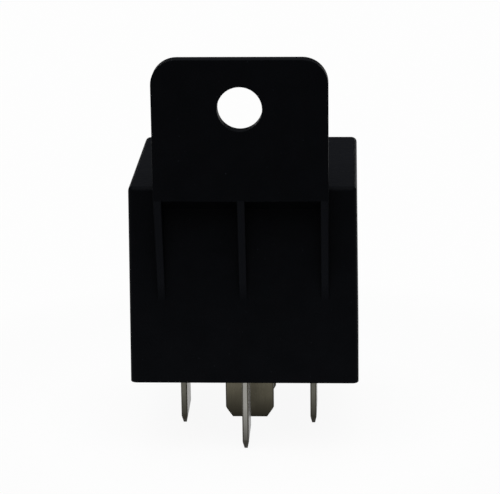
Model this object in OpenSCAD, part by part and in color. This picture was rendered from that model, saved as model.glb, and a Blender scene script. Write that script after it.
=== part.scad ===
// A plug-in changeover relay for vehicles. A moulded cover with a screw tab snaps over a
// moulded base, which holds five blade terminals and a hinged-armature relay.
// +X is to the right, the screw tab is on the -Y side and +Z is up. The origin is on the
// seating plane, which is the cover's rim, in the middle of the centre blade.
// The armature is drawn at rest, tilted open, with its contact against the upper one.

/* [Cover] */
// Inside width of the cover at its rim
chamber_w = 26.3; // [25:0.1:32]
// Inside depth of the cover at its rim
chamber_d = 24.1; // [23.7:0.1:28]
// How far the middle of the cover lies in front of the centre blade
cover_shift = 0.4; // [0.2:0.05:0.6]
// Wall of the cover
cover_wall = 1.1; // [0.9:0.05:1.6]
// Draft: how far each side leans in, from rim to top
cover_draft = 0.28; // [0.1:0.02:0.4]
// Radius of the upright corners
corner_r = 0.8; // [0.6:0.05:1.6]
// Radius of the edge round the top
top_edge_r = 0.6; // [0.3:0.05:0.8]
// Free height above the upper contact arm
head_room = 0.8; // [0.5:0.05:3]
// Thickness of the ribs inside the cover that stop the base
stop_rib_t = 1.0; // [0.6:0.1:2]

/* [Screw tab] */
// Width of the tab
tab_w = 21.2; // [14:0.05:24]
// Thickness of the tab
tab_t = 1.75; // [1.4:0.05:2.4]
// How far the tab's front stands ahead of the cover's front
tab_offset = 3.1; // [2.6:0.05:4]
// Height of the tab above the cover's top
tab_rise = 16.5; // [13:0.1:24]
// Radius of the tab's upper corners
tab_corner_r = 3.1; // [1:0.1:5]
// How far the tab's lower edge lies below the cover's top
tab_root_drop = 0.9; // [0.7:0.05:1.5]
// How far below the cover's top the sloped web meets the cover's front
web_drop = 2.7; // [2:0.05:5]
// Diameter of the screw hole
hole_d = 5.4; // [4.3:0.1:6.5]
// Height of the tab's top over the middle of the hole
hole_drop = 6.05; // [5:0.1:9]
// Thickness of each rib under the tab
rib_t = 1.0; // [0.6:0.05:1.6]
// How far below the cover's top the ribs run out
rib_drop = 14.5; // [8:0.1:20]
// Number of ribs under the tab
rib_count = 3; // [2:1:5]

/* [Blade terminals] */
// Width of a blade
blade_w = 6.3; // [5.6:0.1:6.6]
// Thickness of the blades and of their strips
blade_t = 0.8; // [0.6:0.05:0.9]
// Length of a blade below the seating plane
blade_len = 9.6; // [7:0.1:12]
// Width of the chamfer at each corner of a blade's tip
tip_chamfer_w = 0.9; // [0.4:0.05:1.4]
// Height of that chamfer
tip_chamfer_h = 1.4; // [0.6:0.1:2.4]
// Thickness of a blade at its tip
tip_t = 0.4; // [0.2:0.05:0.55]
// Height over which the tip is thinned
tip_taper_h = 1.1; // [0.6:0.1:2]
// Bevel along the long edges of a blade
blade_bevel = 0.15; // [0.05:0.01:0.2]
// Distance between the middles of the two coil blades
coil_blade_pitch = 16.8; // [16.6:0.1:20]
// Distance from the centre blade to the common blade in front of it
common_pitch = 9.0; // [8.6:0.05:9.1]
// Distance from the centre blade to the blade behind it
rear_pitch = 8.0; // [7.4:0.05:8.4]
// Inside radius of a fold in a strip
fold_r = 0.4; // [0.2:0.05:0.6]

/* [Base] */
// Thickness of the base plate
base_t = 2.6; // [2.2:0.1:4]
// Depth of the base plate above the cover's rim
base_recess = 0.5; // [0.2:0.05:1.5]
// Gap between the base and the cover
base_gap = 0.1; // [0.05:0.01:0.25]
// Gap round a strip in its slot
slot_gap = 0.05; // [0.02:0.01:0.12]
// Plastic round each blade in its collar under the base
collar_wall = 0.7; // [0.4:0.05:0.9]
// Height of the two ridges that carry the yoke
ridge_h = 0.5; // [0.3:0.05:1.2]
// Width of a ridge
ridge_w = 1.2; // [0.8:0.1:1.6]
// Length of each snap nose
latch_len = 5.0; // [3:0.1:8]
// Height of each snap nose
latch_h = 1.3; // [0.8:0.1:1.8]
// Gap round a snap nose in its window
latch_gap = 0.15; // [0.05:0.05:0.3]

/* [Magnet frame] */
// Width of the yoke
yoke_w = 14.0; // [11:0.1:15]
// Thickness of the yoke
yoke_t = 1.5; // [1.2:0.05:1.8]
// Inside radius of the yoke's bend
yoke_bend_r = 0.5; // [0.3:0.05:0.9]
// Width of each ear that guides the armature
ear_w = 1.3; // [0.8:0.05:1.8]
// Height of the ears above the yoke's top edge
ear_h = 1.6; // [1:0.1:2.4]
// Diameter of the core
core_d = 7.0; // [5.5:0.1:7.4]
// Diameter of the core's staked end in the yoke
stake_d = 5.2; // [4:0.1:5.4]
// Diameter of the pole head
pole_d = 9.6; // [8:0.1:13]
// Thickness of the pole head
pole_t = 1.0; // [0.6:0.1:1.6]

/* [Coil] */
// Height of the bobbin
bobbin_h = 12.2; // [9:0.1:18]
// Thickness of the bobbin's flanges
flange_t = 0.9; // [0.6:0.05:1.4]
// Wall of the bobbin's barrel
barrel_wall = 0.9; // [0.6:0.05:1.2]
// Depth of the winding
winding_depth = 2.4; // [1.6:0.05:2.6]
// Thickness of the tape round the winding
tape_t = 0.2; // [0.1:0.02:0.4]
// Height of winding that is left bare under the tape, where the leads come out
tape_rise = 1.2; // [0.8:0.1:2]
// How far the flanges stand out past the tape
flange_lip = 0.5; // [0.2:0.05:0.7]
// Diameter of the lead wires
lead_d = 0.3; // [0.2:0.02:0.4]
// Turns of lead round each post
lead_turns = 3; // [2:1:4]

/* [Armature and contacts] */
// Angle that the armature turns through when the coil pulls it in
swing = 3.4; // [2.4:0.1:4.4]
// Thickness of the armature
armature_t = 1.4; // [1:0.05:2]
// Length of the armature from its pivot edge
armature_len = 15.5; // [13:0.1:16.5]
// Thickness of the leaf spring
leaf_t = 0.3; // [0.2:0.02:0.4]
// Width of the leaf spring over the armature
leaf_w = 8.0; // [7:0.1:10]
// Width of the leaf spring at its contact
leaf_tip_w = 3.6; // [3:0.1:4.2]
// Inside radius of the leaf's knee
knee_r = 0.6; // [0.4:0.05:0.9]
// Width of the window in the knee
knee_window_w = 3.0; // [1.5:0.1:4]
// Diameter of the contacts
contact_d = 2.8; // [2:0.1:3]
// Height of the moving contact on each side of the leaf
button_h = 0.5; // [0.3:0.05:0.9]
// Height of each fixed contact
head_h = 0.6; // [0.4:0.05:1]
// Diameter of the contacts' shanks
shank_d = 1.5; // [1:0.1:1.8]
// Diameter of the rivets
rivet_d = 1.6; // [1.2:0.1:1.8]
// Diameter of the rivets' heads
rivet_head_d = 2.6; // [2.2:0.1:3]
// Thickness of the rivets' heads
rivet_head_t = 0.4; // [0.2:0.05:0.5]

/* [Hidden] */
$fn = 64;

// Small fits, the same all through the relay
seat_gap = 0.05;
pin_gap = 0.02;
hinge_gap = 0.05;
rest_gap = 0.1;
past = 1;

// Heights, from the seating plane up
base_top = base_recess + base_t;
yoke_lo = base_top + ridge_h;
bobbin_lo = yoke_lo + yoke_t + seat_gap;
pole_face = bobbin_lo + bobbin_h + seat_gap + pole_t;
leaf_z = hinge_gap + armature_t;
button_top = leaf_z + leaf_t + button_h;

// Places from front to back. The strips of the common terminal and the rivet heads
// lie between the cover's front wall and the yoke.
front_gap = 0.17;
chamber_y = -cover_shift;
chamber_front = chamber_y - chamber_d / 2;
yoke_front = chamber_front + cover_draft + rivet_head_t + blade_t + front_gap;
pivot_setback = 0.3;
pivot_y = yoke_front + pivot_setback;
coil_gap = 0.3;
barrel_r = core_d / 2 + seat_gap + barrel_wall;
winding_r = barrel_r + pin_gap + winding_depth;
tape_r = winding_r + pin_gap + tape_t;
flange_half = tape_r + flange_lip;
coil_y = yoke_front + yoke_t + coil_gap + flange_half;
contact_setback = 1.75;
contact_y = rear_pitch + contact_setback;
lever = contact_y - pivot_y;

// Upper contact: over the moving one with the armature at rest
nc_y = pivot_y + lever * cos(swing) - button_top * sin(swing);
nc_face = pole_face + lever * sin(swing) + button_top * cos(swing) + rest_gap;
nc_arm_z = nc_face + head_h;
tail_h = 0.3;
tail_lip = 0.2;

// Lower contact: under the moving one with the armature pulled in
no_face = pole_face + leaf_z - button_h - seat_gap;
no_arm_z = no_face - head_h - blade_t;

// Cover and tab
cover_h = nc_arm_z + blade_t + head_room + cover_wall;
outer_w = chamber_w + 2 * cover_wall;
outer_d = chamber_d + 2 * cover_wall;
tab_front = chamber_y - outer_d / 2 + cover_draft - tab_offset;
tab_lo = cover_h - tab_root_drop;
tab_top = cover_h + tab_rise;
hole_z = tab_top - hole_drop;
chamber_r = 0.4 * corner_r;

// Strips inside. A form laid over the next one reaches this far into it.
overlap = 0.5;
riser_w = 5.0;
arm_margin = 0.15;
side_gap = 1.25;
side_strip_w = 2.8;
side_strip_lo = blade_w / 2 + side_gap;
side_strip_hi = side_strip_lo + side_strip_w;
side_riser_setback = 0.9;
side_riser_y = contact_y + side_riser_setback;
run_z = base_top - blade_t / 2;
run_y = 2.0;
run_w = 3.2;
fold_mid = fold_r + blade_t / 2;
coil_blade_x = coil_blade_pitch / 2;
post_setback = 0.3;
post_y = contact_y - post_setback;
post_w = 1.2;
post_h = 5.1;
post_top = base_top + post_h;
lead_z = bobbin_lo + flange_t + lead_d;
lead_lift = 0.3;
lead_reach = 0.6;
common_foot = 0.7;
common_lo = base_recess + common_foot;
common_rise = 6.0;
common_hi = yoke_lo + common_rise;
common_w = 5.8;

// Rivets, and the edges of their heads and of the contacts
rivet_margin = 1.1;
common_rivet_x = common_w / 2 + blade_t / 4;
common_rivet_z = common_hi - rivet_head_d / 2 - rivet_margin;
foot_gap = 1.6;
foot_margin = 0.5;
leaf_foot_z = common_hi + foot_gap;
yoke_rivet_x = 2.4;
yoke_rivet_z = leaf_foot_z + rivet_head_d / 2 + foot_margin;
armature_rivet_x = 2.6;
armature_rivet_setback = 1.0;
armature_rivet_y = coil_y - pivot_y - armature_rivet_setback;
head_edge = 0.3;
contact_edge_w = 0.4;
contact_edge_h = 0.15;

// Yoke, core and bobbin
yoke_margin = 1.0;
pole_edge = 0.15;
flange_r = 2.0;

// Armature and leaf
ear_gap = 0.15;
shoulder_gap = 0.3;
relief = 0.5;
leaf_taper = 2.0;
leaf_corner = 0.8;
leaf_margin = 0.1;
window_reach = 4.0;

// How far a side of the cover leans in at height z
function lean(z) = cover_draft * z / cover_h;

// Y of the cover's front face at height z
function face_y(z) = chamber_y - outer_d / 2 + lean(z);

// ---- shared forms ----

module box_between(lo, hi) {
    translate(lo) cube(hi - lo);
}

// A plan outline drawn in XY, raised from z = lo to z = hi
module raised(lo, hi) {
    translate([0, 0, lo]) linear_extrude(hi - lo) children();
}

// A side outline drawn in (Y, Z), spread from x = lo to x = hi
module spread(lo, hi) {
    translate([lo, 0, 0]) rotate([90, 0, 90]) linear_extrude(hi - lo) children();
}

// A front outline drawn in (X, Z), spread from y = lo to y = hi
module spread_back(lo, hi) {
    translate([0, hi, 0]) rotate([90, 0, 0]) linear_extrude(hi - lo) children();
}

module rounded_rect(w, d, r) {
    square([w - 2 * r, d], center = true);
    square([w, d - 2 * r], center = true);
    for (x = [-1, 1], y = [-1, 1]) translate([x * (w / 2 - r), y * (d / 2 - r)]) circle(r);
}

// The sector of a folded sheet's section at one bend, which turns by angle a
module bend(t, r, a) {
    side = sign(a);
    reach = 3 * (r + t);
    translate([0, side * (r + t / 2)]) intersection() {
        difference() {
            circle(r + t);
            circle(r);
        }
        polygon([[0, 0],
                 for (k = [0, 0.5, 1]) reach * [sin(k * abs(a)), -side * cos(k * abs(a))]]);
    }
}

// The section of a folded sheet: from the origin along +X, one [length, turn] per leg
module folded(t, r, legs, i = 0) {
    translate([0, -t / 2]) square([legs[i][0], t]);
    if (i + 1 < len(legs)) translate([legs[i][0], 0]) {
        swerve = sign(legs[i][1]) * (r + t / 2);
        bend(t, r, legs[i][1]);
        translate([0, swerve]) rotate(legs[i][1]) translate([0, -swerve]) folded(t, r, legs, i + 1);
    }
}

// The section of a blade, with its corners bevelled
module bevelled(w, t) {
    b = blade_bevel;
    polygon([for (c = [[1, 1], [-1, 1], [-1, -1], [1, -1]], k = [0, 1])
                 let (in_w = c[0] * c[1] > 0 ? k : 1 - k)
                 [c[0] * (w / 2 - in_w * b), c[1] * (t / 2 - (1 - in_w) * b)]]);
}

// One blade, face-on to Y, from its tip up to z = top
module blade(top) {
    half = blade_w / 2;
    intersection() {
        spread_back(-blade_t, blade_t)
            polygon([[-half, top], [half, top], [half, tip_chamfer_h - blade_len],
                     [half - tip_chamfer_w, -blade_len], [tip_chamfer_w - half, -blade_len],
                     [-half, tip_chamfer_h - blade_len]]);
        spread(-blade_w, blade_w)
            polygon([[-blade_t / 2, top + past], [blade_t / 2, top + past],
                     [blade_t / 2, tip_taper_h - blade_len], [tip_t / 2, -blade_len],
                     [-tip_t / 2, -blade_len], [-blade_t / 2, tip_taper_h - blade_len]]);
        raised(-blade_len - past, top + past) bevelled(blade_w, blade_t);
    }
}

// A box round a blade that runs along X, from z = lo to z = hi, g larger all round
module blade_room(lo, hi, g) {
    raised(lo, hi) square([blade_w + 2 * g, blade_t + 2 * g], center = true);
}

// A contact or rivet turned about +Z, with its outline drawn in (radius, height)
module turned(points) {
    rotate_extrude() polygon(points);
}

// A fixed contact that faces up, with its head on z = 0 and its shank down through the strip
module fixed_contact() {
    rim = contact_d / 2;
    tail = shank_d / 2 + tail_lip;
    turned([[0, -blade_t - tail_h], [tail, -blade_t - tail_h], [tail, -blade_t - pin_gap],
            [shank_d / 2, -blade_t - pin_gap], [shank_d / 2, pin_gap], [rim, pin_gap],
            [rim, head_h - contact_edge_h], [rim - contact_edge_w, head_h], [0, head_h]]);
}

// A flat-headed rivet along +Z: head on top of z = 0, shank down to -grip
module rivet(grip) {
    turned([[0, -grip], [rivet_d / 2, -grip], [rivet_d / 2, pin_gap], [rivet_head_d / 2, pin_gap],
            [rivet_head_d / 2, rivet_head_t * 0.6], [rivet_head_d / 2 - head_edge, rivet_head_t],
            [0, rivet_head_t]]);
}

// Everything that turns with the armature is drawn with the pivot edge at the origin, as it
// lies when pulled in, and this sets it at rest
module at_rest() {
    translate([0, pivot_y, pole_face]) rotate([swing, 0, 0]) children();
}

// ---- cover ----

// A box with drafted sides, rounded upright corners and a rounded top edge
module drafted_box(w, d, lo, hi, r, edge) {
    hull() for (x = [-1, 1], y = [-1, 1]) {
        translate([x * (w / 2 - lean(lo) - r), y * (d / 2 - lean(lo) - r), lo])
            cylinder(h = 0.01, r = r, $fn = 32);
        translate([x * (w / 2 - lean(hi) - r), y * (d / 2 - lean(hi) - r), hi - edge])
            rotate_extrude($fn = 32) intersection() {
                translate([r - edge, 0]) circle(edge, $fn = 32);
                square(2 * r);
            }
    }
}

// The tab's front outline, with its screw hole left to cut
module tab_outline() {
    half = tab_w / 2;
    translate([-half, tab_lo]) square([tab_w, tab_top - tab_corner_r - tab_lo]);
    translate([tab_corner_r - half, tab_lo]) square([tab_w - 2 * tab_corner_r, tab_top - tab_lo]);
    for (x = [-1, 1]) translate([x * (half - tab_corner_r), tab_top - tab_corner_r]) circle(tab_corner_r);
}

module tab() {
    inside = cover_wall / 2;
    spread_back(tab_front, tab_front + tab_t) tab_outline();
    // Web whose underside slopes back to the cover's front
    spread(-tab_w / 2, tab_w / 2)
        polygon([[tab_front, tab_lo], [face_y(cover_h - web_drop), cover_h - web_drop],
                 [face_y(0) + inside, cover_h - web_drop], [face_y(0) + inside, cover_h - top_edge_r],
                 [tab_front, cover_h - top_edge_r]]);
    for (i = [0 : rib_count - 1]) {
        x = -tab_w / 2 + i * (tab_w - rib_t) / (rib_count - 1);
        spread(x, x + rib_t)
            polygon([[tab_front, tab_lo], [face_y(cover_h - rib_drop), cover_h - rib_drop],
                     [face_y(0) + inside, cover_h - rib_drop], [face_y(0) + inside, tab_lo]]);
    }
}

// Ribs inside the side walls that stop the base as it snaps in
module stop_ribs() {
    for (x = [-1, 1], y = [-1, 1])
        translate([x * chamber_w / 2, chamber_y + y * chamber_d * 0.3, (base_top + seat_gap + cover_h) / 2])
            cube([2 * stop_rib_t, stop_rib_t, cover_h - base_top - seat_gap], center = true);
}

module snap_windows() {
    for (x = [-1, 1])
        translate([x * outer_w / 2, chamber_y, base_recess + base_t / 2])
            cube([4 * cover_wall, latch_len + 2 * latch_gap, latch_h + 2 * latch_gap], center = true);
}

module cover() {
    color([0.09, 0.09, 0.1]) difference() {
        union() {
            translate([0, chamber_y, 0]) drafted_box(outer_w, outer_d, 0, cover_h, corner_r, top_edge_r);
            tab();
        }
        difference() {
            translate([0, chamber_y, 0])
                drafted_box(chamber_w, chamber_d, -past, cover_h - cover_wall, chamber_r, chamber_r);
            stop_ribs();
        }
        snap_windows();
        translate([0, tab_front + tab_t / 2, hole_z]) rotate([90, 0, 0])
            cylinder(h = 2 * tab_t, d = hole_d, center = true);
    }
}

// ---- base and terminals ----

// Plan of the strip that leads the centre blade sideways and to the back, g larger all round
module side_run(g = 0) {
    half = blade_w / 2 + g;
    back = side_riser_y - fold_mid + g;
    polygon([[-half, fold_mid - g], [half, fold_mid - g], [half, run_y - g], [side_strip_hi + g, run_y - g],
             [side_strip_hi + g, back], [side_strip_lo - g, back],
             [side_strip_lo - g, run_y + run_w + g], [-half, run_y + run_w + g]]);
}

// Room in the base for every strip that passes through it
module slots() {
    g = slot_gap;
    for (x = [-1, 1])
        translate([x * coil_blade_x, 0, 0]) rotate([0, 0, 90]) blade_room(-past, base_top + past, g);
    translate([0, rear_pitch, 0]) blade_room(-past, base_top + past, g);
    // Centre blade, the pocket round its fold and the channel for its strip
    blade_room(-past, run_z, g);
    box_between([-blade_w / 2 - g, -blade_t / 2 - g, run_z - fold_mid - blade_t],
                [blade_w / 2 + g, fold_mid + g, base_top + past]);
    raised(run_z - blade_t / 2 - g, base_top + past) side_run(g);
    box_between([side_strip_lo - g, side_riser_y - fold_mid - g, run_z - blade_t / 2 - g],
                [side_strip_hi + g, side_riser_y + blade_t / 2 + g, base_top + past]);
    // Common blade, its fold and the leg that is folded off it
    translate([0, -common_pitch, 0]) rotate([0, 0, 90]) blade_room(-past, base_top + past, g);
    box_between([-blade_t / 2 - g, yoke_front - blade_t - g, common_lo - g],
                [fold_mid + g, yoke_front + fold_r + g, base_top + past]);
    box_between([-blade_t / 2 - g, yoke_front - blade_t - g, common_lo - g],
                [common_w + g, yoke_front + g, base_top + past]);
}

module base() {
    half_w = chamber_w / 2 - lean(base_top) - base_gap;
    half_d = chamber_d / 2 - lean(base_top) - base_gap;
    nose = cover_wall * 0.7;
    color([0.13, 0.13, 0.14]) difference() {
        union() {
            translate([0, chamber_y, 0]) raised(base_recess, base_top)
                rounded_rect(2 * half_w, 2 * half_d, chamber_r + base_gap);
            // Collars that stand down to the seating plane round the blades
            for (x = [-1, 1])
                translate([x * coil_blade_x, 0, 0]) rotate([0, 0, 90]) blade_room(0, base_top, collar_wall);
            for (y = [0, rear_pitch]) translate([0, y, 0]) blade_room(0, base_top, collar_wall);
            intersection() {
                translate([0, -common_pitch, 0]) rotate([0, 0, 90]) blade_room(0, base_top, collar_wall);
                translate([0, chamber_y, 0]) raised(0, base_top) square(2 * [half_w, half_d], center = true);
            }
            for (x = [-1, 1])
                translate([x * yoke_w * 0.4 - ridge_w / 2, yoke_front + yoke_t + ridge_w, base_recess])
                    cube([ridge_w, coil_y - yoke_front - yoke_t, base_t + ridge_h]);
            for (x = [0, 1]) mirror([x, 0, 0])
                spread_back(chamber_y - latch_len / 2, chamber_y + latch_len / 2)
                    polygon([[half_w - nose, base_recess + (base_t - latch_h) / 2],
                             [half_w + nose, base_recess + (base_t - latch_h) / 2],
                             [half_w + nose, base_recess + base_t / 2 - latch_h / 4],
                             [half_w, base_recess + (base_t + latch_h) / 2],
                             [half_w - nose, base_recess + (base_t + latch_h) / 2]]);
        }
        slots();
    }
}

// Common terminal: the blade's strip is folded at a right angle and lies on the yoke's front
module terminal_30() {
    inner = yoke_front - blade_t;
    color([0.62, 0.61, 0.57]) difference() {
        union() {
            translate([0, -common_pitch, 0]) rotate([0, 0, 90]) blade(common_lo);
            box_between([-blade_t / 2, inner + fold_r + blade_t, base_recess],
                        [blade_t / 2, blade_w / 2 - common_pitch, base_top]);
            translate([-blade_t / 2, 0, 0]) raised(common_lo, base_top)
                translate([blade_t + fold_r, inner + fold_r + blade_t]) intersection() {
                    difference() {
                        circle(fold_r + blade_t);
                        circle(fold_r);
                    }
                    translate([-3 * blade_t, -3 * blade_t]) square(3 * blade_t);
                }
            box_between([fold_r + blade_t / 2, inner, common_lo], [common_w, yoke_front, common_hi]);
        }
        translate([common_rivet_x, 0, common_rivet_z]) rotate([90, 0, 0])
            cylinder(h = -2 * chamber_front, d = rivet_d + 2 * pin_gap);
    }
}

// Coil terminal: blanked flat, with an arm to the back and a post that the coil's lead is wound on
module coil_terminal(side) {
    color([0.62, 0.61, 0.57]) {
        translate([side * coil_blade_x, 0, 0]) rotate([0, 0, 90]) blade(base_top);
        spread(side * coil_blade_x - blade_t / 2, side * coil_blade_x + blade_t / 2)
            polygon([[-post_w, base_top - overlap], [blade_w / 2, base_top - overlap],
                     [blade_w / 2, base_top], [post_y + post_w / 2, base_top],
                     [post_y + post_w / 2, post_top], [post_y - post_w / 2, post_top],
                     [post_y - post_w / 2, base_top + post_w], [0, base_top + post_w],
                     [-post_w, base_top]]);
    }
}

module terminal_85() {
    coil_terminal(1);
}

module terminal_86() {
    coil_terminal(-1);
}

// Terminal of the lower contact: straight up behind the coil and folded back under the contact
module terminal_87() {
    mid = no_arm_z + blade_t / 2;
    color([0.62, 0.61, 0.57]) difference() {
        union() {
            translate([0, rear_pitch, 0]) blade(base_top);
            spread(-riser_w / 2, riser_w / 2) translate([rear_pitch, base_recess]) rotate(90)
                folded(blade_t, fold_r, [[mid - fold_mid - base_recess, -90],
                                         [contact_setback - fold_mid + contact_d / 2 + arm_margin, 0]]);
        }
        translate([0, contact_y, no_arm_z - past])
            cylinder(h = blade_t + 2 * past, d = shank_d + 2 * pin_gap);
    }
}

// Terminal of the upper contact: folded back under the yoke, led to one side, folded up behind
// the coil and folded forward over the moving contact
module terminal_87a() {
    mid = nc_arm_z + blade_t / 2;
    back = side_riser_y - fold_mid;
    front = nc_y - contact_d / 2 - arm_margin;
    color([0.62, 0.61, 0.57]) difference() {
        union() {
            blade(base_recess + overlap);
            spread(-blade_w / 2, blade_w / 2) translate([0, base_recess]) rotate(90)
                folded(blade_t, fold_r, [[run_z - fold_mid - base_recess, -90], [run_w / 2, 0]]);
            raised(run_z - blade_t / 2, run_z + blade_t / 2) side_run();
            spread(side_strip_lo, side_strip_hi) translate([back - overlap, run_z])
                folded(blade_t, fold_r, [[overlap, 90], [mid - run_z - 2 * fold_mid, 90], [back - front, 0]]);
            box_between([-riser_w * 0.4, front, nc_arm_z], [side_strip_hi, back, nc_arm_z + blade_t]);
            box_between([-riser_w * 0.4, front, nc_arm_z],
                        [side_strip_lo - overlap, side_riser_y + blade_t / 2, nc_arm_z + blade_t]);
        }
        translate([0, nc_y, nc_arm_z - past]) cylinder(h = blade_t + 2 * past, d = shank_d + 2 * pin_gap);
    }
}

// ---- magnet and coil ----

module yoke() {
    leg_mid = yoke_front + yoke_t / 2;
    floor_mid = yoke_lo + yoke_t / 2;
    turn = yoke_bend_r + yoke_t / 2;
    color([0.66, 0.66, 0.64]) difference() {
        union() {
            spread(-yoke_w / 2, yoke_w / 2) translate([leg_mid, pole_face]) rotate(-90)
                folded(yoke_t, yoke_bend_r, [[pole_face - floor_mid - turn, 90],
                                             [coil_y + pole_d / 2 + yoke_margin - leg_mid - turn, 0]]);
            for (x = [-1, 1]) translate([x * (yoke_w - ear_w) / 2, leg_mid, pole_face + ear_h / 2 - past / 2])
                cube([ear_w, yoke_t, ear_h + past], center = true);
        }
        translate([0, coil_y, yoke_lo - past]) cylinder(h = yoke_t + 2 * past, d = stake_d + 2 * pin_gap);
        for (p = [[common_rivet_x, common_rivet_z], [yoke_rivet_x, yoke_rivet_z],
                  [-yoke_rivet_x, yoke_rivet_z]])
            translate([p[0], leg_mid, p[1]]) rotate([90, 0, 0])
                cylinder(h = 2 * yoke_t, d = rivet_d + 2 * pin_gap, center = true);
    }
}

module core() {
    head_z = pole_face - pole_t;
    color([0.7, 0.7, 0.68]) translate([0, coil_y, 0])
        turned([[0, yoke_lo], [stake_d / 2, yoke_lo], [stake_d / 2, yoke_lo + yoke_t],
                [core_d / 2, yoke_lo + yoke_t], [core_d / 2, head_z], [pole_d / 2, head_z],
                [pole_d / 2, pole_face - pole_edge],
                [pole_d / 2 - pole_edge, pole_face], [0, pole_face]]);
}

module bobbin() {
    color([0.75, 0.72, 0.62]) translate([0, coil_y, bobbin_lo]) difference() {
        union() {
            cylinder(h = bobbin_h, r = barrel_r);
            for (z = [0, bobbin_h - flange_t])
                raised(z, z + flange_t) rounded_rect(2 * flange_half, 2 * flange_half, flange_r);
        }
        translate([0, 0, -past]) cylinder(h = bobbin_h + 2 * past, d = core_d + 2 * seat_gap);
    }
}

module coil_winding() {
    lo = bobbin_lo + flange_t + pin_gap;
    hi = bobbin_lo + bobbin_h - flange_t - pin_gap;
    color([0.6, 0.3, 0.14]) translate([0, coil_y, 0])
        turned([[barrel_r + pin_gap, lo], [winding_r, lo], [winding_r, hi], [barrel_r + pin_gap, hi]]);
}

module coil_tape() {
    lo = bobbin_lo + flange_t + tape_rise;
    hi = bobbin_lo + bobbin_h - flange_t - pin_gap;
    color([0.85, 0.75, 0.3]) translate([0, coil_y, 0])
        turned([[winding_r + pin_gap, lo], [tape_r, lo], [tape_r, hi], [winding_r + pin_gap, hi]]);
}

// Points of a lead: off the winding, over the flange to the post and down round it
function lead_route(side) =
    let (out = [sin(40), cos(40)], start = winding_r + lead_d / 2 + pin_gap,
         wrap_r = norm([blade_t, post_w]) / 2 + lead_d / 2 + pin_gap,
         wrap_z = base_top + 2 * post_w + lead_turns * lead_d * 1.2, steps = 12 * lead_turns)
    [[side * out[0] * start, coil_y + out[1] * start, lead_z],
     [side * out[0] * (start + lead_reach), coil_y + out[1] * (start + lead_reach), lead_z + lead_lift],
     for (i = [0 : steps]) let (a = 180 - i * 30)
         [side * (coil_blade_x + wrap_r * cos(a)), post_y + wrap_r * sin(a), wrap_z - i * lead_d * 0.1]];

// A ring of points round the route's point i, square to it
function ring(route, i, r, sides) =
    let (n = len(route), ahead = route[min(i + 1, n - 1)] - route[max(i - 1, 0)],
         t = ahead / norm(ahead), u = cross([0, 0, 1], t) / norm(cross([0, 0, 1], t)), v = cross(t, u))
    [for (k = [0 : sides - 1]) route[i] + r * (cos(360 * k / sides) * u + sin(360 * k / sides) * v)];

module swept(route, r, sides) {
    n = len(route);
    polyhedron(
        points = [for (i = [0 : n - 1]) each ring(route, i, r, sides)],
        faces = concat(
            [[for (k = [sides - 1 : -1 : 0]) k], [for (k = [0 : sides - 1]) (n - 1) * sides + k]],
            [for (i = [0 : n - 2], k = [0 : sides - 1]) let (a = i * sides, b = (k + 1) % sides)
                each [[a + k, a + b, a + sides + b], [a + k, a + sides + b, a + sides + k]]]));
}

module coil_lead(side) {
    color([0.6, 0.3, 0.14]) swept(lead_route(side), lead_d / 2, 8);
}

module coil_lead_85() {
    coil_lead(1);
}

module coil_lead_86() {
    coil_lead(-1);
}

// ---- armature and contacts ----

module armature() {
    half = yoke_w / 2;
    neck = half - ear_w - ear_gap;
    shoulder = yoke_t - pivot_setback + shoulder_gap;
    taper = armature_len * 0.68;
    color([0.7, 0.7, 0.68]) at_rest() difference() {
        raised(hinge_gap, leaf_z)
            polygon([[-neck, 0], [neck, 0], [neck, shoulder], [half, shoulder], [half, taper],
                     [half * 0.6, armature_len], [-half * 0.6, armature_len], [-half, taper],
                     [-half, shoulder], [-neck, shoulder]]);
        // Relief at the front edge for the leaf's knee
        spread(-yoke_w, yoke_w)
            polygon([[-past, leaf_z - relief], [0, leaf_z - relief], [relief, leaf_z],
                     [relief, leaf_z + past], [-past, leaf_z + past]]);
        for (x = [-1, 1]) translate([x * armature_rivet_x, armature_rivet_y, 0])
            cylinder(h = leaf_z + past, d = rivet_d + 2 * pin_gap);
    }
}

// The leaf: a foot on the yoke's front, a knee round the armature's front edge and an arm that
// lies on the armature and carries the moving contact
module contact_spring() {
    knee_y = yoke_front + knee_r;
    knee_z = pole_face + (leaf_z - knee_r + (knee_y - pivot_y) * sin(swing)) / cos(swing);
    knee_on_arm = (knee_y - pivot_y) * cos(swing) + (knee_z - pole_face) * sin(swing);
    tip = lever + contact_d / 2 + leaf_margin;
    half = leaf_w / 2;
    tip_half = leaf_tip_w / 2;
    color([0.72, 0.5, 0.28]) difference() {
        intersection() {
            spread(-half, half) translate([yoke_front - leaf_t / 2, leaf_foot_z]) rotate(90)
                folded(leaf_t, knee_r, [[knee_z - leaf_foot_z, swing - 90], [tip - knee_on_arm, 0]]);
            raised(0, cover_h) translate([0, pivot_y])
                polygon([[-half, -leaf_w], [half, -leaf_w], [half, armature_len - leaf_taper],
                         [tip_half, armature_len + leaf_taper / 2], [tip_half, tip - leaf_corner],
                         [tip_half - leaf_corner, tip], [leaf_corner - tip_half, tip],
                         [-tip_half, tip - leaf_corner], [-tip_half, armature_len + leaf_taper / 2],
                         [-half, armature_len - leaf_taper]]);
        }
        // Window that softens the knee
        translate([0, yoke_front, pole_face])
            cube([knee_window_w, window_reach, window_reach], center = true);
        for (x = [-1, 1]) translate([x * yoke_rivet_x, yoke_front, yoke_rivet_z]) rotate([90, 0, 0])
            cylinder(h = 4 * leaf_t, d = rivet_d + 2 * pin_gap, center = true);
        at_rest() {
            for (x = [-1, 1]) translate([x * armature_rivet_x, armature_rivet_y, leaf_z - leaf_t])
                cylinder(h = 3 * leaf_t, d = rivet_d + 2 * pin_gap);
            translate([0, lever, leaf_z - leaf_t]) cylinder(h = 3 * leaf_t, d = shank_d + 2 * pin_gap);
        }
    }
}

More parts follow.
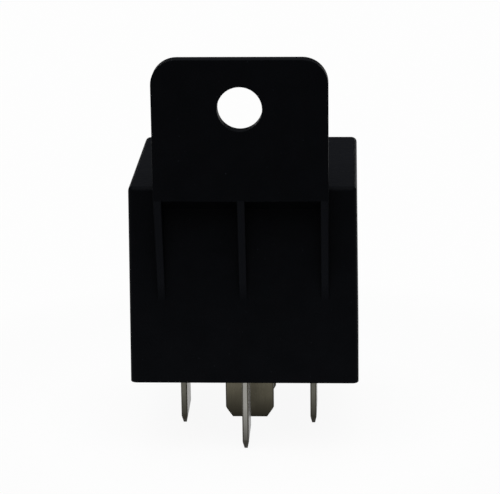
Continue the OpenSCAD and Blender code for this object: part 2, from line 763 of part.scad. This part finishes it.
// Moving contact: a double-faced rivet through the leaf's tip
module moving_contact() {
    rim = contact_d / 2;
    color([0.82, 0.82, 0.8]) at_rest() translate([0, lever, leaf_z])
        turned([[0, -button_h], [rim - contact_edge_w, -button_h], [rim, contact_edge_h - button_h],
                [rim, -pin_gap], [shank_d / 2, -pin_gap], [shank_d / 2, leaf_t + pin_gap],
                [rim, leaf_t + pin_gap], [rim, leaf_t + button_h - contact_edge_h],
                [rim - contact_edge_w, leaf_t + button_h], [0, leaf_t + button_h]]);
}

module no_contact() {
    color([0.82, 0.82, 0.8]) translate([0, contact_y, no_arm_z + blade_t]) fixed_contact();
}

module nc_contact() {
    color([0.82, 0.82, 0.8]) translate([0, nc_y, nc_arm_z]) mirror([0, 0, 1]) fixed_contact();
}

module armature_rivets() {
    color([0.75, 0.75, 0.72]) at_rest() for (x = [-1, 1])
        translate([x * armature_rivet_x, armature_rivet_y, leaf_z + leaf_t]) rivet(armature_t + leaf_t);
}

module yoke_rivets() {
    color([0.75, 0.75, 0.72]) for (x = [-1, 1])
        translate([x * yoke_rivet_x, yoke_front - leaf_t, yoke_rivet_z]) rotate([90, 0, 0])
            rivet(yoke_t + leaf_t);
}

module terminal_rivet() {
    color([0.75, 0.75, 0.72])
        translate([common_rivet_x, yoke_front - blade_t, common_rivet_z]) rotate([90, 0, 0])
            rivet(yoke_t + blade_t);
}

cover();
base();
terminal_30();
terminal_85();
terminal_86();
terminal_87();
terminal_87a();
yoke();
core();
bobbin();
coil_winding();
coil_tape();
coil_lead_85();
coil_lead_86();
armature();
contact_spring();
moving_contact();
no_contact();
nc_contact();
armature_rivets();
yoke_rivets();
terminal_rivet();
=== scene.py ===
"""A plug-in vehicle relay: black moulded cover with a screw tab, five plated blades below."""

import math

import bmesh
import bpy
from mathutils import Matrix, Vector


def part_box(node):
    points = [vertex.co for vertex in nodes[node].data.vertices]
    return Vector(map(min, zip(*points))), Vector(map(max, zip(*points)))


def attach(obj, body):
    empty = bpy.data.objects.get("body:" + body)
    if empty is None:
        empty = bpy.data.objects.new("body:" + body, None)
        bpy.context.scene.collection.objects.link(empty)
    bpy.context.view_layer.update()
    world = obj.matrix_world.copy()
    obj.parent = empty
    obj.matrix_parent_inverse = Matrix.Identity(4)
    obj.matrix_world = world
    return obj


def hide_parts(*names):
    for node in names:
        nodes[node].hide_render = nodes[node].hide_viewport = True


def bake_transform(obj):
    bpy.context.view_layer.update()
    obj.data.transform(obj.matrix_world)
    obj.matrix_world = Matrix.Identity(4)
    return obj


MM = 0.001
UP = Vector((0, 0, 1))
SAME_PLANE = math.radians(0.3)
CORNER = math.radians(50)
CREASE = math.radians(32)

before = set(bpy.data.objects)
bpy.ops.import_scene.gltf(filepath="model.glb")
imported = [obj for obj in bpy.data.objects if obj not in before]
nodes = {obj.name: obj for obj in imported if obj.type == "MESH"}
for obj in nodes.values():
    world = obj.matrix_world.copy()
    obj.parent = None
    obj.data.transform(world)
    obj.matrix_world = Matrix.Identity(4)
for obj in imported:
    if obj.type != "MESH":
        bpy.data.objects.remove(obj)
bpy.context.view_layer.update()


# ---- camera, floor and light ----

def place_camera():
    """The camera stands a little to the right of the relay and looks down at it."""
    focal, film, distance = 162.5, 36, 276.7 * MM
    pitch, yaw, roll = math.radians(16.87), math.radians(-2.81), math.radians(0.738)
    target = Vector((0.917, -13.27, 17.679)) * MM
    ahead = Vector((math.sin(yaw) * math.cos(pitch), math.cos(yaw) * math.cos(pitch), -math.sin(pitch)))
    right = Vector((math.cos(yaw), -math.sin(yaw), 0))
    down = ahead.cross(right)
    across = math.cos(roll) * right + math.sin(roll) * down
    below = -math.sin(roll) * right + math.cos(roll) * down
    camera = bpy.data.objects.new("camera", bpy.data.cameras.new("camera"))
    bpy.context.scene.collection.objects.link(camera)
    turn = Matrix((across, -below, -ahead)).transposed()
    camera.matrix_world = Matrix.Translation(target - ahead * distance) @ turn.to_4x4()
    camera.data.lens = focal
    camera.data.sensor_width = film
    camera.data.clip_start = 0.01
    camera.data.clip_end = 50
    bpy.context.scene.camera = camera


def light_studio():
    """One very wide lamp overhead, a little to the front, and an even dim surround."""
    lamp = bpy.data.lights.new("overhead", "SUN")
    lamp.energy = 3.1
    lamp.angle = math.radians(75)
    holder = bpy.data.objects.new("overhead", lamp)
    toward = Vector((0, -0.3, 1))
    holder.rotation_euler = toward.to_track_quat("Z", "Y").to_euler()
    bpy.context.scene.collection.objects.link(holder)
    world = bpy.data.worlds.new("surround")
    bpy.context.scene.world = world
    world.use_nodes = True
    sky = world.node_tree.nodes["Background"]
    sky.inputs["Color"].default_value = (1, 1, 1, 1)
    sky.inputs["Strength"].default_value = 0.08
    bpy.context.scene.view_settings.view_transform = "Standard"


def lay_floor():
    """A small pale sheet at the blades' tips, on a table dark to soft light and white to sight and gloss."""
    reach = 12.0
    sheet_edge, table_edge = 30, 60
    sheet_colour, table_colour = (0.8, 0.8, 0.8), (0.02, 0.02, 0.02)
    sheet_white, table_white = 0.93, 0.985
    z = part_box("terminal_87")[0].z
    mesh = bpy.data.meshes.new("floor")
    mesh.from_pydata([(-reach, -reach, z), (reach, -reach, z), (reach, reach, z), (-reach, reach, z)],
                     [], [(0, 1, 2, 3)])
    floor = bpy.data.objects.new("floor", mesh)
    bpy.context.scene.collection.objects.link(floor)
    paper = Shader("pale_floor", sheet_colour, roughness=0.9, specular=0.0)
    away = paper.add("ShaderNodeVectorMath")
    away.operation = "LENGTH"
    paper.join(paper.place(), away.inputs[0])
    table = paper.ramp(away.outputs["Value"], sheet_edge, table_edge)
    paper.colour(paper.blend(table, sheet_colour, table_colour))
    glow = paper.add("ShaderNodeEmission")
    rays = paper.add("ShaderNodeLightPath")
    white = paper.ramp(table, 0, 1, sheet_white, table_white)
    seen = 0.0
    for ray in ("Is Camera Ray", "Is Glossy Ray", "Is Transmission Ray"):
        seen = paper.maths("ADD", rays.outputs[ray], seen, clamp=True)
    seen = paper.maths("MULTIPLY", seen, white)
    mix = paper.add("ShaderNodeMixShader")
    paper.join(seen, mix.inputs[0])
    paper.join(paper.surface.outputs[0], mix.inputs[1])
    paper.join(glow.outputs[0], mix.inputs[2])
    paper.join(mix.outputs[0], paper.tree.nodes["Material Output"].inputs["Surface"])
    mesh.materials.append(paper.material)


# ---- materials ----

def shade(colour, share):
    """A colour made darker or lighter."""
    return tuple(share * c for c in colour)


class Shader:
    """A material on one Principled surface, with its patterns in the part's own millimetres."""

    def __init__(self, name, colour, roughness, specular=0.5, metallic=0.0):
        self.material = bpy.data.materials.new(name)
        self.material.use_nodes = True
        self.tree = self.material.node_tree
        self.surface = self.tree.nodes["Principled BSDF"]
        self.surface.inputs["Base Color"].default_value = (*colour, 1)
        self.surface.inputs["Roughness"].default_value = roughness
        self.surface.inputs["Specular IOR Level"].default_value = specular
        self.surface.inputs["Metallic"].default_value = metallic

    def add(self, kind):
        return self.tree.nodes.new(kind)

    def join(self, source, target):
        self.tree.links.new(source, target)

    def feed(self, socket, value):
        """Links an output to a socket, or sets the socket to a value."""
        if isinstance(value, bpy.types.NodeSocket):
            self.join(value, socket)
        else:
            socket.default_value = value

    def maths(self, operation, *values, clamp=False):
        node = self.add("ShaderNodeMath")
        node.operation = operation
        node.use_clamp = clamp
        for socket, value in zip(node.inputs, values):
            self.feed(socket, value)
        return node.outputs[0]

    def place(self, stretch=(1, 1, 1)):
        """The point on the part, in millimetres, with each axis stretched."""
        scale = self.add("ShaderNodeMapping")
        self.join(self.add("ShaderNodeTexCoord").outputs["Object"], scale.inputs["Vector"])
        scale.inputs["Scale"].default_value = [s / MM for s in stretch]
        return scale.outputs[0]

    def noise(self, size, detail=2.0, stretch=(1, 1, 1), seed=0.0):
        """Noise from 0 to 1 whose blotches are about size millimetres across."""
        node = self.add("ShaderNodeTexNoise")
        node.noise_dimensions = "4D"
        node.inputs["W"].default_value = seed
        node.inputs["Scale"].default_value = 1 / size
        node.inputs["Detail"].default_value = detail
        self.join(self.place(stretch), node.inputs["Vector"])
        return node.outputs["Fac"]

    def ramp(self, value, lo, hi, start=0.0, end=1.0):
        """start where value is below lo, end where it is above hi, and an even run between."""
        node = self.add("ShaderNodeMapRange")
        for name, number in (("From Min", lo), ("From Max", hi), ("To Min", start), ("To Max", end)):
            node.inputs[name].default_value = number
        self.join(value, node.inputs["Value"])
        return node.outputs["Result"]

    def blend(self, share, first, second):
        """A colour between two, each a colour or an output."""
        node = self.add("ShaderNodeMix")
        node.data_type = "RGBA"
        self.join(share, node.inputs["Factor"])
        for socket, colour in ((node.inputs[6], first), (node.inputs[7], second)):
            self.feed(socket, (*colour, 1) if isinstance(colour, tuple) else colour)
        return node.outputs[2]

    def colour(self, output):
        self.join(output, self.surface.inputs["Base Color"])

    def rough(self, output):
        self.join(output, self.surface.inputs["Roughness"])

    def relief(self, height, depth):
        """Gives the surface a relief of a depth in millimetres."""
        bump = self.add("ShaderNodeBump")
        bump.inputs["Distance"].default_value = depth * MM
        self.join(height, bump.inputs["Height"])
        self.join(bump.outputs[0], self.surface.inputs["Normal"])

    def height_above_tips(self):
        """Height over the blades' tips, in millimetres."""
        parts = self.add("ShaderNodeSeparateXYZ")
        self.join(self.place(), parts.inputs[0])
        return self.maths("SUBTRACT", parts.outputs["Z"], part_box("terminal_87")[0].z / MM)

    def facing(self, axis):
        """1 where the surface faces along an axis, 0 where it runs along it."""
        dot = self.add("ShaderNodeVectorMath")
        dot.operation = "DOT_PRODUCT"
        self.join(self.add("ShaderNodeNewGeometry").outputs["True Normal"], dot.inputs[0])
        dot.inputs[1].default_value = axis
        return self.maths("ABSOLUTE", dot.outputs["Value"])


def black_plastic(name, dark, light, roughness, specular, lit_facing):
    """Moulded black nylon: grain, faint clouds, pale specks, and painted light on faces that look up and on
    the upper part of faces that look the given way.
    """
    # heights over the tips across which the painted light on faces looking the given way fades in
    light_from, light_to = 20.3, 23.0
    s = Shader(name, dark, roughness, specular)
    tone = s.blend(s.ramp(s.noise(3.0, 3.0), 0.35, 0.65), dark, light)
    # painted light: faces that look up are made lighter
    painted_top_light = s.ramp(s.facing(tuple(UP)), 0.9, 1.0, 0.0, 0.6)
    # painted light on the faces that look the given way, above a height
    slopes = s.ramp(s.facing(lit_facing), 0.985, 0.995)
    painted_slope_light = s.maths("MULTIPLY", slopes, s.ramp(s.height_above_tips(), light_from, light_to))
    # both painted lights lighten the tone
    tone = s.blend(s.maths("MAXIMUM", painted_top_light, painted_slope_light), tone, shade(light, 1.75))
    specks = s.ramp(s.noise(0.22, 0.0, seed=5.0), 0.83, 0.88)
    s.colour(s.blend(specks, tone, shade(light, 4)))
    s.rough(s.ramp(s.noise(0.5, 3.0, seed=8.0), 0.3, 0.7, roughness - 0.05, roughness + 0.05))
    s.relief(s.noise(0.16, 2.0, seed=2.0), 0.02)
    return s.material


def plated(name, face, edge, across, tip_shade_height):
    """Nickel-plated strip: slightly brown faces darker than its sheared edges, partly their own finish and
    partly a painted reflection; a painted dark reflection on the rounded corners; painted shade near its tip.

    across is the way the strip's faces look, and the last argument the height over the tip where the painted
    shade ends.
    """
    roughness = 0.3
    s = Shader(name, face, roughness, metallic=1.0)
    stained = s.blend(s.ramp(s.noise(2.6, 3.0, seed=1.0), 0.35, 0.7), face, shade(face, 0.72))
    broad, sheared = s.facing(across), s.facing((across[1], across[0], 0))
    # partly a painted reflection: the faces are darker than the sheared edges, beyond their own brown tint
    flats = s.blend(s.ramp(broad, 0.55, 0.8), edge, stained)
    # painted dark reflection: the rounded corners between faces and edges are darkened
    off_corner = s.ramp(s.maths("MAXIMUM", broad, sheared), 0.8, 0.9)
    corner_shaded = s.blend(off_corner, shade(face, 0.5), flats)
    # painted shade: the colour darkens towards the tip
    painted_tip_shade = s.ramp(s.height_above_tips(), 0.0, tip_shade_height, 1.0, 0.0)
    s.colour(s.blend(painted_tip_shade, corner_shaded, shade(face, 0.15)))
    rolled = s.noise(0.09, 3.0, stretch=(1, 1, 0.06), seed=3.0)
    s.rough(s.ramp(rolled, 0.3, 0.7, roughness - 0.06, roughness + 0.08))
    s.relief(rolled, 0.0015)
    return s.material


def bare_metal(name, base, roughness):
    """Metal with faint clouds and a very fine grain."""
    s = Shader(name, base, roughness, metallic=1.0)
    s.colour(s.blend(s.ramp(s.noise(1.4, 3.0), 0.35, 0.65), base, shade(base, 0.8)))
    fine = s.noise(0.12, 3.0, seed=4.0)
    s.rough(s.ramp(fine, 0.3, 0.7, roughness - 0.07, roughness + 0.07))
    s.relief(fine, 0.002)
    return s.material


def wound_wire(name, turns_per_mm):
    """Enamelled copper in level turns, with painted shade in the grooves between them."""
    bands_per_unit = 20 / (2 * math.pi)
    painted_groove_shade, crown = (0.16, 0.045, 0.014), (0.46, 0.15, 0.05)
    s = Shader(name, crown, 0.28, metallic=1.0)
    wave = s.add("ShaderNodeTexWave")
    wave.bands_direction = "Z"
    wave.inputs["Scale"].default_value = turns_per_mm / bands_per_unit
    wave.inputs["Distortion"].default_value = 0.0
    s.join(s.place(), wave.inputs["Vector"])
    # painted shade: the grooves between turns are darker than the crowns
    s.colour(s.blend(wave.outputs["Fac"], painted_groove_shade, crown))
    s.rough(s.ramp(s.noise(0.8, 2.0), 0.3, 0.7, 0.24, 0.36))
    s.relief(wave.outputs["Fac"], 0.04)
    return s.material


def soft_sheet(name, base, roughness):
    """Nylon or tape, a little uneven in tone and surface."""
    s = Shader(name, base, roughness)
    s.colour(s.blend(s.ramp(s.noise(2.5, 3.0), 0.3, 0.7), base, shade(base, 0.82)))
    s.rough(s.ramp(s.noise(0.6, 2.0, seed=2.0), 0.3, 0.7, roughness - 0.05, roughness + 0.05))
    s.relief(s.noise(0.2, 2.0, seed=6.0), 0.006)
    return s.material


def dress_nodes():
    """Every CAD node gets its finish, and all but the cover, which round_cover replaces, eased edges."""
    along_x, along_y, rib_fronts = (1, 0, 0), (0, 1, 0), (0, -0.977, -0.212)
    # the face colour is darkened below the plating's own colour as a painted dark reflection
    face, edge, shaded_coil_edge = (0.12, 0.11, 0.08), (0.33, 0.325, 0.3), (0.12, 0.117, 0.098)
    cover_dark, cover_light = (0.0036, 0.004, 0.005), (0.0044, 0.0048, 0.006)
    base_dark, base_light = (0.006, 0.006, 0.0066), (0.008, 0.008, 0.0088)
    flat = plated("nickel_strip_y", face, edge, along_y, tip_shade_height=4.5)
    side = plated("nickel_strip_x", face, edge, along_x, tip_shade_height=6.0)
    # the coil terminals get the same nickel with darker sheared edges: painted shade
    shaded_coil_side = plated("nickel_strip_shaded", face, shaded_coil_edge, along_x, tip_shade_height=4.5)
    iron = bare_metal("zinc_plated_iron", (0.52, 0.53, 0.55), 0.34)
    steel = bare_metal("rivet_steel", (0.6, 0.6, 0.58), 0.3)
    silver = bare_metal("contact_silver", (0.82, 0.81, 0.78), 0.24)
    wire = wound_wire("enamelled_wire", 6.5)
    finish = {
        # the last argument is the way of the faces that get painted light
        "cover": black_plastic("cover_plastic", cover_dark, cover_light, 0.4, 0.012, rib_fronts),
        "base": black_plastic("base_plastic", base_dark, base_light, 0.5, 0.2, tuple(UP)),
        "terminal_30": side, "terminal_85": shaded_coil_side, "terminal_86": shaded_coil_side,
        "terminal_87": flat, "terminal_87a": flat,
        "yoke": iron, "core": iron, "armature": iron,
        "bobbin": soft_sheet("bobbin_plastic", (0.62, 0.57, 0.44), 0.45),
        "coil_winding": wire, "coil_lead_85": wire, "coil_lead_86": wire,
        "coil_tape": soft_sheet("coil_tape", (0.6, 0.42, 0.06), 0.3),
        "contact_spring": bare_metal("spring_copper", (0.72, 0.42, 0.24), 0.3),
        "moving_contact": silver, "no_contact": silver, "nc_contact": silver,
        "armature_rivets": steel, "yoke_rivets": steel, "terminal_rivet": steel,
    }
    radius, own_radius = 0.03, {"base": 0.02, "yoke": 0.12, "bobbin": 0.08, "armature": 0.06}
    for name, node in nodes.items():
        node.data.materials.clear()
        node.data.materials.append(finish[name])
        if name != "cover":
            ease(node, own_radius.get(name, radius))


# ---- shapes ----

def ease(node, radius):
    """Joins the mesh up, makes its flats whole and rounds its edges a little."""
    node.data.shade_smooth()
    weld = node.modifiers.new("joined", "WELD")
    weld.merge_threshold = 0.1 * radius * MM
    flats = node.modifiers.new("whole_flats", "DECIMATE")
    flats.decimate_type = "DISSOLVE"
    flats.angle_limit = SAME_PLANE
    edges = node.modifiers.new("eased_edges", "BEVEL")
    edges.width = radius * MM
    edges.segments = 3
    edges.use_clamp_overlap = False
    edges.limit_method = "ANGLE"
    edges.angle_limit = CORNER
    node.modifiers.new("flat_flats", "WEIGHTED_NORMAL")


def copy_of(node, name):
    """A new object with its own copy of a CAD node's mesh, linked to the scene."""
    piece = bpy.data.objects.new(name, nodes[node].data.copy())
    bpy.context.scene.collection.objects.link(piece)
    return piece


def round_cover():
    """The cover with the small roundings of its mould: on its outer corners, not on its inside."""
    radius, seam = 0.1 * MM, 0.02 * MM
    inner_x, inner_y, inner_top = 13.3 * MM, 12.3 * MM, 24.5 * MM
    cover = copy_of("cover", "moulded_cover")
    shell = bmesh.new()
    shell.from_mesh(cover.data)
    bmesh.ops.remove_doubles(shell, verts=shell.verts, dist=seam)
    bmesh.ops.dissolve_limit(shell, angle_limit=SAME_PLANE, verts=shell.verts, edges=shell.edges)
    corners = []
    for edge in shell.edges:
        middle = (edge.verts[0].co + edge.verts[1].co) / 2
        inside = abs(middle.x) < inner_x and abs(middle.y) < inner_y and middle.z < inner_top
        if edge.is_manifold and not inside and edge.calc_face_angle_signed() > CORNER:
            corners.append(edge)
    bmesh.ops.bevel(shell, geom=corners, offset=radius, segments=3, profile=0.5, affect="EDGES",
                    clamp_overlap=False)
    for face in shell.faces:
        face.smooth = True
    for edge in shell.edges:
        edge.smooth = edge.is_manifold and abs(edge.calc_face_angle_signed()) < CREASE
    shell.to_mesh(cover.data)
    shell.free()
    even = cover.modifiers.new("flat_flats", "WEIGHTED_NORMAL")
    even.keep_sharp = True
    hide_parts("cover")
    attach(cover, "housing")


def bend_spring():
    """The leaf, with its foot on the yoke and its arm on the armature, is cut across every quarter millimetre
    from the yoke rivets' top to the yoke's top, where it would flex.
    """
    step, seam, near = 0.25 * MM, 0.002 * MM, 0.001 * MM
    leaf = copy_of("contact_spring", "leaf_spring")
    sheet = bmesh.new()
    sheet.from_mesh(leaf.data)
    bmesh.ops.remove_doubles(sheet, verts=sheet.verts, dist=seam)
    foot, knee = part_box("yoke_rivets")[1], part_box("yoke")[1]
    height = foot.z
    while height < knee.z:
        everything = sheet.verts[:] + sheet.edges[:] + sheet.faces[:]
        bmesh.ops.bisect_plane(sheet, geom=everything, plane_co=UP * height, plane_no=UP, dist=near)
        height += step
    sheet.to_mesh(leaf.data)
    sheet.free()
    ease(leaf, 0.02)
    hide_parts("contact_spring")
    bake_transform(leaf)


place_camera()
lay_floor()
light_studio()
dress_nodes()
round_cover()
bend_spring()
